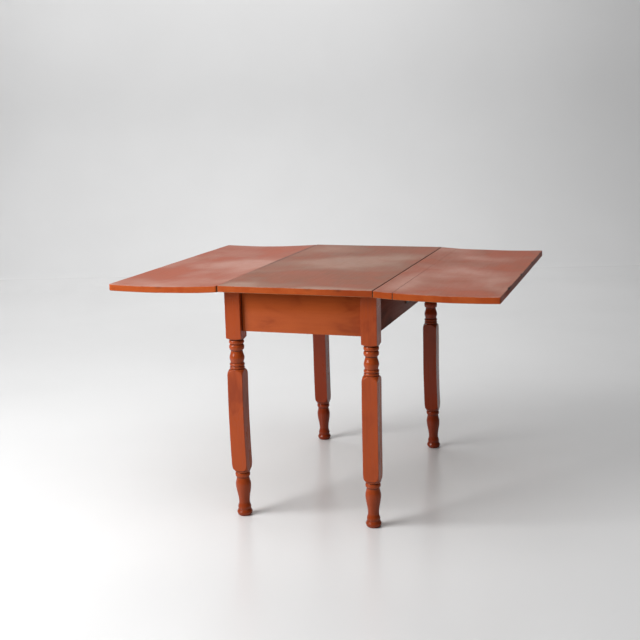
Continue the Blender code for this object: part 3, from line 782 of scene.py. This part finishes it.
def leg_profile(shift=0.0, slim=0.0):
    """(height, radius) up a leg.

    shift raises its upper turnings a little and slim thins its bulb, as turning by hand does.
    """
    points = [(0.0, 0.0)]
    straight(points, 0.0, FOOT_R - 0.0060, 3)
    ease(points, 0.0040, FOOT_R - 0.0018, 6)
    ease(points, 0.0105, FOOT_R, 7)
    ease(points, 0.0195, FOOT_R - 0.0032, 8)
    ease(points, 0.0206, NECK_R + 0.0012, 3)
    ease(points, 0.0262, NECK_R + 0.0020, 6)
    ease(points, ANKLE_Z, ANKLE_R, 14)
    ease(points, BULB_Z, BULB_R - slim, 26)
    ease(points, 0.1255, GROOVE_R - 0.0004, 14)
    bead(points, 0.1262, 0.1405, GROOVE_R, BEAD_R)
    straight(points, LOWER_SHOULDER_Z, 0.0236, 2)
    ease(points, LOWER_SHOULDER_Z + 0.0050, 0.0256, 3)
    ease(points, LOWER_SHOULDER_Z + 0.0088, 0.0298, 6)
    straight(points, LOWER_SHOULDER_Z + 0.0150, 0.0320, 6)
    straight(points, LOWER_SHOULDER_Z + 0.0270, 0.0344, 8)
    straight(points, LOWER_SHOULDER_Z + 0.0310, FREE_R, 3)
    upper = UPPER_SHOULDER_Z + shift
    straight(points, upper - 0.0220, FREE_R, 58)
    straight(points, upper - 0.0180, 0.0344, 3)
    straight(points, upper - 0.0095, 0.0322, 6)
    ease(points, upper - 0.0030, 0.0272, 6)
    ease(points, upper, 0.0232, 4)
    bead(points, upper + 0.0012, upper + 0.0088, GROOVE_R + 0.0008, BEAD_R - 0.0002, 10)
    bead(points, upper + 0.0100, upper + 0.0188, GROOVE_R + 0.0004, BEAD_R - 0.0002, 10)
    straight(points, upper + 0.0205, GROOVE_R, 2)
    ease(points, BARREL_Z + shift, BEAD_R - 0.0003, 14)
    ease(points, 0.5295 + shift, NECK_R - 0.0003, 16)
    bead(points, 0.5315 + shift, 0.5470, NECK_R + 0.0006, BEAD_R, 14)
    bead(points, 0.5485, 0.5605, GROOVE_R + 0.0002, BEAD_R + 0.0001, 12)
    straight(points, BLOCK_SHOULDER_Z, 0.0234, 2)
    ease(points, BLOCK_SHOULDER_Z + 0.0022, 0.0262, 5)
    straight(points, BLOCK_SHOULDER_Z + 0.0042, 0.0325, 5)
    straight(points, BLOCK_SHOULDER_Z + 0.0058, FREE_R, 3)
    straight(points, LEG_TOP, FREE_R, 32)
    points.append((LEG_TOP, 0.0))
    return points


def profile_object(name, points):
    """The profile as a line of points, each marked with how hollow it is there, for dirt and painted shade in
    its hollows.
    """
    mesh = bpy.data.meshes.new(name)
    mesh.from_pydata([(r, 0.0, z) for z, r in points], [(i, i + 1) for i in range(len(points) - 1)], [])
    hollow = []
    for z, r in points:
        near = [other for height, other in points if abs(height - z) < 0.0030 and other > 0.0]
        depth = sum(near) / len(near) - r if near else 0.0
        hollow.append(min(max(depth / 0.0009, 0.0), 1.0) if r < 0.026 else 0.0)
    mesh.attributes.new("hollow", "FLOAT", "POINT").data.foreach_set("value", hollow)
    return loose_object(name, mesh)


class Tree:
    """A geometry node tree under construction, with named inputs."""

    def __init__(self, name, inputs):
        self.tree = bpy.data.node_groups.new(name, "GeometryNodeTree")
        ports = self.tree.interface
        ports.new_socket(name="Geometry", in_out="INPUT", socket_type="NodeSocketGeometry")
        for label, kind in inputs.items():
            ports.new_socket(name=label, in_out="INPUT", socket_type="NodeSocket" + kind)
        ports.new_socket(name="Geometry", in_out="OUTPUT", socket_type="NodeSocketGeometry")
        self.given = self.tree.nodes.new("NodeGroupInput").outputs
        self.result = self.tree.nodes.new("NodeGroupOutput").inputs[0]

    def add(self, kind, feeds=None, **settings):
        """Adds a node, sets it, and feeds its inputs by name or number."""
        node = self.tree.nodes.new(kind)
        for key, value in settings.items():
            setattr(node, key, value)
        for key, value in (feeds or {}).items():
            if isinstance(value, bpy.types.NodeSocket):
                self.tree.links.new(value, node.inputs[key])
            else:
                node.inputs[key].default_value = value
        return node

    def calc(self, operation, a, b=0.0, c=0.0):
        return self.add("ShaderNodeMath", {0: a, 1: b, 2: c}, operation=operation).outputs[0]

    def close(self, geometry, finish):
        real = self.add("GeometryNodeRealizeInstances", {"Geometry": geometry}).outputs[0]
        dressed = self.add("GeometryNodeSetMaterial", {"Geometry": real, "Material": finish}).outputs[0]
        self.tree.links.new(dressed, self.result)

    def run(self, obj, values):
        """Works the tree on the object with its inputs set by identifier, and returns a plain mesh."""
        step = obj.modifiers.new(self.tree.name, "NODES")
        step.node_group = self.tree
        for item in self.tree.interface.items_tree:
            if item.in_out == "INPUT" and item.name in values:
                step[item.identifier] = values[item.name]
        return finished_mesh(obj)


def turned_leg_tree():
    """Turns a profile about the leg's axis and keeps it inside square stock with rounded arrises."""
    t = Tree(
        "Turned leg",
        {
            "Sides": "Int",
            "Stock width": "Float",
            "Arris crispness": "Float",
            "Foot of axis": "Vector",
            "Knee height": "Float",
            "Stray at knee": "Vector",
            "Stray at foot": "Vector",
            "Seed": "Float",
            "Finish": "Material",
        },
    )
    given = t.given
    rows = t.add("GeometryNodeAttributeDomainSize", {"Geometry": given["Geometry"]}).outputs["Point Count"]
    columns = t.calc("ADD", given["Sides"], 1.0)
    grid = t.add("GeometryNodeMeshGrid", {"Vertices X": columns, "Vertices Y": rows}).outputs["Mesh"]
    index = t.add("GeometryNodeInputIndex").outputs[0]
    column = t.calc("FLOOR", t.calc("DIVIDE", t.calc("ADD", index, 0.5), rows))
    row = t.calc("SUBTRACT", index, t.calc("MULTIPLY", column, rows))

    place = t.add("GeometryNodeInputPosition").outputs[0]
    feeds = {"Geometry": given["Geometry"], "Value": place, "Index": row}
    on_line = t.add("GeometryNodeSampleIndex", feeds, data_type="FLOAT_VECTOR").outputs[0]
    split = t.add("ShaderNodeSeparateXYZ", {0: on_line})
    turned, height = split.outputs["X"], split.outputs["Z"]
    hollow_in = t.add("GeometryNodeInputNamedAttribute", {"Name": "hollow"}, data_type="FLOAT").outputs[0]
    feeds = {"Geometry": given["Geometry"], "Value": hollow_in, "Index": row}
    hollow = t.add("GeometryNodeSampleIndex", feeds, data_type="FLOAT").outputs[0]

    # The steps round the leg close up towards the four arrises.
    even = t.calc("MULTIPLY", t.calc("DIVIDE", column, given["Sides"]), math.tau)
    crowd = t.calc("MULTIPLY", t.calc("SINE", t.calc("MULTIPLY", even, 4.0)), 0.125)
    angle = t.calc("ADD", even, crowd)
    cosine, sine = t.calc("COSINE", angle), t.calc("SINE", angle)

    # A superellipse is the stock's section. Its power, and so the arris, wears unevenly up the leg.
    level = t.add("ShaderNodeCombineXYZ", {0: cosine, 1: sine, 2: t.calc("MULTIPLY", height, 9.0)}).outputs[0]
    wear_feeds = {"Vector": level, "W": given["Seed"], "Scale": 2.3, "Detail": 3.0}
    wear = t.add("ShaderNodeTexNoise", wear_feeds, noise_dimensions="4D").outputs[0]
    power = t.calc("MULTIPLY", given["Arris crispness"], t.calc("ADD", t.calc("MULTIPLY", wear, 1.2), 0.4))
    sum_feeds = [t.calc("POWER", t.calc("ABSOLUTE", axis), power) for axis in (cosine, sine)]
    spread = t.calc("POWER", t.calc("ADD", *sum_feeds), t.calc("DIVIDE", 1.0, power))
    stock = t.calc("DIVIDE", t.calc("MULTIPLY", given["Stock width"], 0.5), spread)
    radius = t.calc("SMOOTH_MIN", turned, stock, 0.0009)
    radius = t.calc("MULTIPLY", radius, t.calc("GREATER_THAN", turned, 0.00001))
    ripple = t.calc("MULTIPLY", t.calc("SUBTRACT", wear, 0.5), 0.0006)
    radius = t.calc("MAXIMUM", t.calc("SUBTRACT", radius, t.calc("ABSOLUTE", ripple)), 0.0)

    # Each leg bows at the knee and strays at the foot.
    below = t.add(
        "ShaderNodeMapRange",
        {"Value": height, "From Min": 0.0, "From Max": given["Knee height"], "To Min": 1.0, "To Max": 0.0},
        interpolation_type="SMOOTHSTEP",
    ).outputs[0]
    above = t.add(
        "ShaderNodeMapRange",
        {"Value": height, "From Min": given["Knee height"], "From Max": 0.58, "To Min": 1.0, "To Max": 0.0},
        interpolation_type="SMOOTHSTEP",
    ).outputs[0]
    knee_share = t.calc("MULTIPLY", above, t.calc("SUBTRACT", 1.0, below))
    shifts = []
    for share, stray in ((below, given["Stray at foot"]), (knee_share, given["Stray at knee"])):
        shifts.append(t.add("ShaderNodeVectorMath", {0: stray, "Scale": share}, operation="SCALE").outputs[0])
    moved = t.add("ShaderNodeVectorMath", {0: shifts[0], 1: shifts[1]}, operation="ADD").outputs[0]
    moved = t.add("ShaderNodeVectorMath", {0: moved, 1: given["Foot of axis"]}, operation="ADD").outputs[0]
    parts = {0: t.calc("MULTIPLY", radius, cosine), 1: t.calc("MULTIPLY", radius, sine), 2: height}
    ring = t.add("ShaderNodeCombineXYZ", parts).outputs[0]
    final = t.add("ShaderNodeVectorMath", {0: ring, 1: moved}, operation="ADD").outputs[0]

    corner = t.calc("MULTIPLY", t.calc("COSINE", t.calc("MULTIPLY", angle, 4.0)), -1.0)
    corner_feeds = {"Value": corner, "From Min": 0.955, "From Max": 0.995}
    corner = t.add("ShaderNodeMapRange", corner_feeds, interpolation_type="SMOOTHSTEP").outputs[0]
    corner = t.calc("MULTIPLY", corner, t.calc("GREATER_THAN", turned, 0.0330))
    on_turning = t.calc("LESS_THAN", turned, 0.0260)
    crest = t.calc("MULTIPLY", on_turning, t.calc("GREATER_THAN", turned, BEAD_R - 0.0006))
    arris = t.calc("MAXIMUM", corner, t.calc("MULTIPLY", crest, 0.5))

    feeds = {"Geometry": grid, "Name": "hollow", "Value": hollow}
    skin = t.add("GeometryNodeStoreNamedAttribute", feeds, data_type="FLOAT", domain="POINT").outputs[0]
    feeds = {"Geometry": skin, "Name": "arris", "Value": arris}
    skin = t.add("GeometryNodeStoreNamedAttribute", feeds, data_type="FLOAT", domain="POINT").outputs[0]
    skin = t.add("GeometryNodeSetPosition", {"Geometry": skin, "Position": final}).outputs[0]
    skin = t.add("GeometryNodeMergeByDistance", {"Geometry": skin, "Distance": 0.00001}).outputs[0]
    t.close(skin, given["Finish"])
    return t


def build_legs():
    tree = turned_leg_tree()
    turnings = {
        "front_left": (-0.0020, 0.0, 1.0),
        "front_right": (0.0, 0.0, 2.0),
        "back_left": (0.0005, 0.0004, 3.0),
        "back_right": (-0.0050, 0.0002, 4.0),
    }
    for end, sy in ENDS.items():
        for side, sx in SIDES.items():
            leg = end + "_" + side
            shift, slim, seed = turnings[leg]
            line = profile_object("profile_" + leg, leg_profile(shift, slim))
            knee, foot = LEG_STRAY[leg]
            values = {
                "Sides": LEG_SIDES,
                "Stock width": LEG_SQ,
                "Arris crispness": 72.0,
                "Foot of axis": (sx * LEG_X, sy * LEG_Y, 0.0),
                "Knee height": KNEE_Z,
                "Stray at knee": (*knee, 0.0),
                "Stray at foot": (*foot, 0.0),
                "Seed": seed,
                "Finish": LEG_FINISH[end],
            }
            mesh = tree.run(line, values)
            settle("turned_" + leg + "_leg", mesh, "frame", LEG_FINISH[end], [leg + "_leg"], 50)


# ---------------------------------------------------------------- aprons, blocks and fittings


def eased_copy(node, width, segments=2):
    """A clean copy of a CAD node's mesh with its arrises eased."""
    bm = bmesh.new()
    bm.from_mesh(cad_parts[node].data)
    bmesh.ops.remove_doubles(bm, verts=bm.verts, dist=1e-5)
    bmesh.ops.dissolve_limit(bm, angle_limit=math.radians(1.0), verts=bm.verts, edges=bm.edges)
    bmesh.ops.recalc_face_normals(bm, faces=bm.faces)
    mesh = bpy.data.meshes.new("eased_" + node)
    bm.to_mesh(mesh)
    bm.free()
    for layer in list(mesh.uv_layers):
        mesh.uv_layers.remove(layer)
    obj = loose_object("easing_" + node, mesh)
    step = obj.modifiers.new("Arris", "BEVEL")
    step.width = width
    step.segments = segments
    step.limit_method = "ANGLE"
    step.angle_limit = math.radians(40)
    return finished_mesh(obj)


def ease_node(prefix, node, body, finish, width, segments=2):
    """The piece that stands for a CAD node of the same shape, with its arrises eased."""
    settle(prefix + "_" + node, eased_copy(node, width, segments), body, finish, [node])


def build_eased_pieces():
    for end in ENDS:
        ease_node("painted", end + "_apron", "frame", END_APRON_FINISH, 0.0011, 3)
        ease_node("pine", end + "_glue_block", "frame", BLOCK_FINISH["X"], 0.0008)
    for side in SIDES:
        ease_node("painted", side + "_apron", "frame", SIDE_APRON_FINISH, 0.0009)
        for end in ENDS:
            block, brace = side + "_" + end + "_glue_block", end + "_" + side + "_corner_brace"
            ease_node("pine", block, "frame", BLOCK_FINISH["Y"], 0.0008)
            ease_node("pine", brace, "frame", BLOCK_FINISH["Z"], 0.0014, 3)
        keeper, bar, bracket = (side + "_stay_" + part for part in ("keeper", "bar", "bracket"))
        ease_node("painted", keeper, side + "_leaf", KEEPER_FINISH, 0.0006)
        ease_node("iron", bar, side + "_stay", IRON_FINISH, 0.0005)
        ease_node("iron", bracket, "frame", IRON_FINISH, 0.0004)


def dress_cad_nodes():
    """Hinge plates and pins keep their CAD shape and take a better finish."""
    for name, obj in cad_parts.items():
        if name.endswith("_plate"):
            finish = IRON_FINISH
        elif name.endswith("_pin"):
            finish = PIN_FINISH
        else:
            continue
        for slot in obj.material_slots:
            slot.link = "OBJECT"
            slot.material = finish


# Screws: the head's radius, and where each kind of fitting takes them.
SCREW_R = {"hinge": 0.0027, "bracket": 0.0028, "brace": 0.0042, "keeper": 0.0034, "nail": 0.0021}
PLATE_T = 0.002
PLATE_FIT = 0.0003
TABLE_PLATE_SCREW_IN = 0.0130
TABLE_PLATE_ROWS = (-0.012, 0.012)
LEAF_PLATE_SCREWS = ((0.0140, -0.012), (0.0140, 0.012), (0.0290, 0.0))
BRACKET_T = 0.0025
BRACKET_COLUMNS = (-0.0176, 0.0176)
BRACKET_ROWS = (-0.0125, 0.0125)
KEEPER_T = 0.009
KEEPER_COLUMNS = (-0.0163, 0.0163)
KEEPER_SLOPE = 0.027
BRACE_ROWS = (-0.015, 0.015)
NAIL_X = 0.185
NAIL_Z = 0.597


def screw_tree():
    """Puts a slotted screw head on every point, facing the way the point says, each turned at random."""
    t = Tree(
        "Slotted screws",
        {
            "Head sides": "Int",
            "Rim taper": "Float",
            "Proud": "Float",
            "Slot width": "Float",
            "Seed": "Int",
            "Finish": "Material",
        },
    )
    given = t.given
    feeds = {"Vertices": given["Head sides"], "Radius Top": given["Rim taper"], "Radius Bottom": 1.0}
    feeds["Depth"] = given["Proud"]
    head = t.add("GeometryNodeMeshCone", feeds).outputs["Mesh"]
    slot_size = t.add("ShaderNodeCombineXYZ", {0: 2.4, 1: given["Slot width"], 2: given["Proud"]}).outputs[0]
    slot = t.add("GeometryNodeMeshCube", {"Size": slot_size}).outputs["Mesh"]
    raised = t.add("ShaderNodeCombineXYZ", {2: given["Proud"]}).outputs[0]
    slot = t.add("GeometryNodeTransform", {"Geometry": slot, "Translation": raised}).outputs[0]
    feeds = {"Mesh 1": head, "Mesh 2": slot}
    cut = t.add("GeometryNodeMeshBoolean", feeds, operation="DIFFERENCE").outputs["Mesh"]
    facing = t.add("GeometryNodeInputNamedAttribute", {"Name": "facing"}, data_type="FLOAT_VECTOR").outputs[0]
    size = t.add("GeometryNodeInputNamedAttribute", {"Name": "size"}, data_type="FLOAT").outputs[0]
    aim = t.add("FunctionNodeAlignRotationToVector", {"Vector": facing}, axis="Z").outputs[0]
    feeds = {"Points": given["Geometry"], "Instance": cut, "Rotation": aim, "Scale": size}
    placed = t.add("GeometryNodeInstanceOnPoints", feeds).outputs[0]
    feeds = {"Min": 0.0, "Max": math.tau, "Seed": given["Seed"]}
    angle = t.add("FunctionNodeRandomValue", feeds, data_type="FLOAT").outputs[1]
    turn = t.add("ShaderNodeCombineXYZ", {2: angle}).outputs[0]
    placed = t.add("GeometryNodeRotateInstances", {"Instances": placed, "Rotation": turn}).outputs[0]
    t.close(placed, given["Finish"])
    return t


def leaf_plate_point(side, out, y):
    """A point on the under face of a leaf's hinge plate, and the way that face looks."""
    sx = SIDES[side]
    under = (LEAF_CREST - TOP_T - LEAF_STEP) * math.cos(LEAF_SLOPE) - PLATE_FIT - PLATE_T
    x = out * math.cos(LEAF_SLOPE) + under * math.sin(LEAF_SLOPE)
    z = -out * math.sin(LEAF_SLOPE) + under * math.cos(LEAF_SLOPE)
    facing = (-sx * math.sin(LEAF_SLOPE), 0.0, -math.cos(LEAF_SLOPE))
    return (sx * (PIN_X + x), y, PIN_Z + z), facing


def hinge_screws(side):
    """(on the frame, on the leaf): the screws of one side's three hinges."""
    on_frame, on_leaf = [], []
    for where in ("front", "middle", "back"):
        low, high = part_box(side + "_" + where + "_hinge_table_plate")
        y = (low.y + high.y) / 2
        for row in TABLE_PLATE_ROWS:
            place = (SIDES[side] * (PIN_X - TABLE_PLATE_SCREW_IN), y + row, high.z - PLATE_T)
            on_frame.append((place, (0.0, 0.0, -1.0), SCREW_R["hinge"]))
        for out, row in LEAF_PLATE_SCREWS:
            on_leaf.append((*leaf_plate_point(side, out, y + row), SCREW_R["hinge"]))
    return on_frame, on_leaf


def bracket_screws(side):
    sx = SIDES[side]
    low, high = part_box(side + "_stay_bracket")
    x = sx * (min(abs(low.x), abs(high.x)) + BRACKET_T)
    middle = (low.z + high.z) / 2
    places = [(x, y, middle + z) for y in BRACKET_COLUMNS for z in BRACKET_ROWS]
    return [(place, (sx, 0.0, 0.0), SCREW_R["bracket"]) for place in places]


def keeper_screws(side):
    low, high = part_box(side + "_stay_keeper")
    x = (low.x + high.x) / 2
    z = leaf_lie(side)(x, 0.0) - TOP_T - PLATE_FIT - KEEPER_T
    facing = (-SIDES[side] * KEEPER_SLOPE, 0.0, -1.0)
    return [((x, y, z), facing, SCREW_R["keeper"]) for y in KEEPER_COLUMNS]


def brace_screws(side):
    found = []
    for end, sy in ENDS.items():
        low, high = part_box(end + "_" + side + "_corner_brace")
        x, y, z = (low + high) / 2
        facing = (-SIDES[side] * math.sqrt(0.5), -sy * math.sqrt(0.5), 0.0)
        found += [((x, y, z + row), facing, SCREW_R["brace"]) for row in BRACE_ROWS]
    return found


def nail():
    """One small iron head, in the right-hand end of the front apron."""
    return (NAIL_X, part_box("front_apron")[0].y, NAIL_Z), (0.0, -1.0, 0.0), SCREW_R["nail"]


def screw_places():
    """Every screw as (place, facing, head radius), listed by the body that it rides on."""
    places = {"frame": [], "left_leaf": [], "right_leaf": []}
    for side in SIDES:
        on_frame, on_leaf = hinge_screws(side)
        places["frame"] += on_frame + bracket_screws(side) + brace_screws(side)
        places[side + "_leaf"] += on_leaf + keeper_screws(side)
    places["frame"].append(nail())
    return places


def build_screws():
    tree = screw_tree()
    for number, (body, screws) in enumerate(screw_places().items()):
        spots, facings, sizes = zip(*screws)
        mesh = bpy.data.meshes.new("screw_points")
        mesh.from_pydata(spots, [], [])
        way = mesh.attributes.new("facing", "FLOAT_VECTOR", "POINT").data
        way.foreach_set("vector", [c for facing in facings for c in facing])
        mesh.attributes.new("size", "FLOAT", "POINT").data.foreach_set("value", sizes)
        values = {
            "Head sides": 28,
            "Rim taper": 0.86,
            "Proud": 0.20,
            "Slot width": 0.30,
            "Seed": 7 + number,
            "Finish": IRON_FINISH,
        }
        heads = tree.run(loose_object("screws", mesh), values)
        settle(body + "_screws", heads, body, IRON_FINISH, [], 30)


# ---------------------------------------------------------------- stage, light and camera


CAMERA_PLACE = (1.0415, -3.3478, 1.2553)
CAMERA_YAW = math.radians(18.08)
CAMERA_PITCH = math.radians(-11.86)
CAMERA_ROLL = math.radians(-1.31)
CAMERA_LENS = 60.544
CAMERA_SHIFT = (-0.01166, 0.01475)


def stage_finish(name, colour, rough):
    """Pale paint, smooth on the floor and matt up the wall."""
    f = Finish(name)
    drift = f.cloud(1.4, 3.0, 0.5)
    pale = tuple(min(1.0, c * 1.05) for c in colour)
    tone = f.blend(f.between(drift, 0.3, 0.7), colour, pale)
    normal = f.relief(f.cloud(0.25, 3.0, 0.5), 0.0003)
    return f.done(tone, f.between(f.height(), 0.0, 0.35, rough, 0.95), normal, specular=0.4)


# The sweep: its flat floor before and behind the table, its curve, its wall and half its width.
SWEEP_BEFORE = 7.0
SWEEP_FLAT = 3.95
SWEEP_R = 1.30
SWEEP_TOP = 4.6
SWEEP_HALF = 7.0
SWEEP_STEPS = 32
SWEEP_EASE = 0.05


def build_stage():
    """A pale floor that runs up into a wall behind the table in one smooth sweep."""
    away = Vector((-math.sin(CAMERA_YAW), math.cos(CAMERA_YAW), 0.0))
    across = Vector((away.y, -away.x, 0.0))
    section = [(-SWEEP_BEFORE, 0.0), (SWEEP_FLAT - SWEEP_EASE, 0.0), (SWEEP_FLAT, 0.0)]
    for i in range(1, SWEEP_STEPS + 1):
        turn = math.radians(90) * i / SWEEP_STEPS
        section.append((SWEEP_FLAT + SWEEP_R * math.sin(turn), SWEEP_R * (1 - math.cos(turn))))
    section += [(SWEEP_FLAT + SWEEP_R, height) for height in (SWEEP_R + SWEEP_EASE, SWEEP_TOP)]
    points = []
    for reach, height in section:
        middle = away * reach + Vector((0.0, 0.0, height))
        points += [middle - across * SWEEP_HALF, middle + across * SWEEP_HALF]
    faces = [(i, i + 1, i + 3, i + 2) for i in range(0, len(points) - 2, 2)]
    mesh = bpy.data.meshes.new("studio_sweep")
    mesh.from_pydata(points, [], faces)
    mesh.materials.append(stage_finish("pale_studio_floor", (0.78, 0.78, 0.78), 0.24))
    for face in mesh.polygons:
        face.use_smooth = True
    loose_object("studio_sweep", mesh)


def soft_light(name, place, aim, width, height, watts):
    lamp = bpy.data.lights.new(name, "AREA")
    lamp.shape = "RECTANGLE"
    lamp.size = width
    lamp.size_y = height
    lamp.energy = watts
    obj = bpy.data.objects.new(name, lamp)
    obj.location = place
    obj.rotation_euler = (Vector(aim) - Vector(place)).to_track_quat("-Z", "Y").to_euler()
    bpy.context.scene.collection.objects.link(obj)


def build_lights():
    soft_light("window", (-2.5, -2.3, 2.3), (0.0, 0.0, 0.5), 2.2, 2.0, 158.0)
    soft_light("ceiling", (0.35, -1.35, 4.4), (0.25, -1.1, 0.0), 5.0, 4.0, 82.0)
    soft_light("wall_wash", (-2.0, 3.0, 4.4), (-2.4, 3.8, 0.0), 4.5, 2.6, 112.0)
    world = bpy.data.worlds.new("room")
    world.use_nodes = True
    back = world.node_tree.nodes["Background"]
    back.inputs["Color"].default_value = (0.95, 0.97, 1.0, 1.0)
    back.inputs["Strength"].default_value = 0.06
    bpy.context.scene.world = world
    bpy.context.scene.view_settings.view_transform = "Standard"


def build_camera():
    data = bpy.data.cameras.new("camera")
    data.sensor_width = 36.0
    data.lens = CAMERA_LENS
    data.shift_x, data.shift_y = CAMERA_SHIFT
    camera = bpy.data.objects.new("camera", data)
    turn = Matrix.Rotation(CAMERA_YAW, 4, "Z")
    nod = Matrix.Rotation(math.pi / 2 + CAMERA_PITCH, 4, "X")
    lean = Matrix.Rotation(CAMERA_ROLL, 4, "Z")
    camera.matrix_world = Matrix.Translation(CAMERA_PLACE) @ turn @ nod @ lean
    bpy.context.scene.collection.objects.link(camera)
    bpy.context.scene.camera = camera


build_camera()
build_stage()
build_lights()
build_boards()
build_legs()
build_eased_pieces()
dress_cad_nodes()
build_screws()
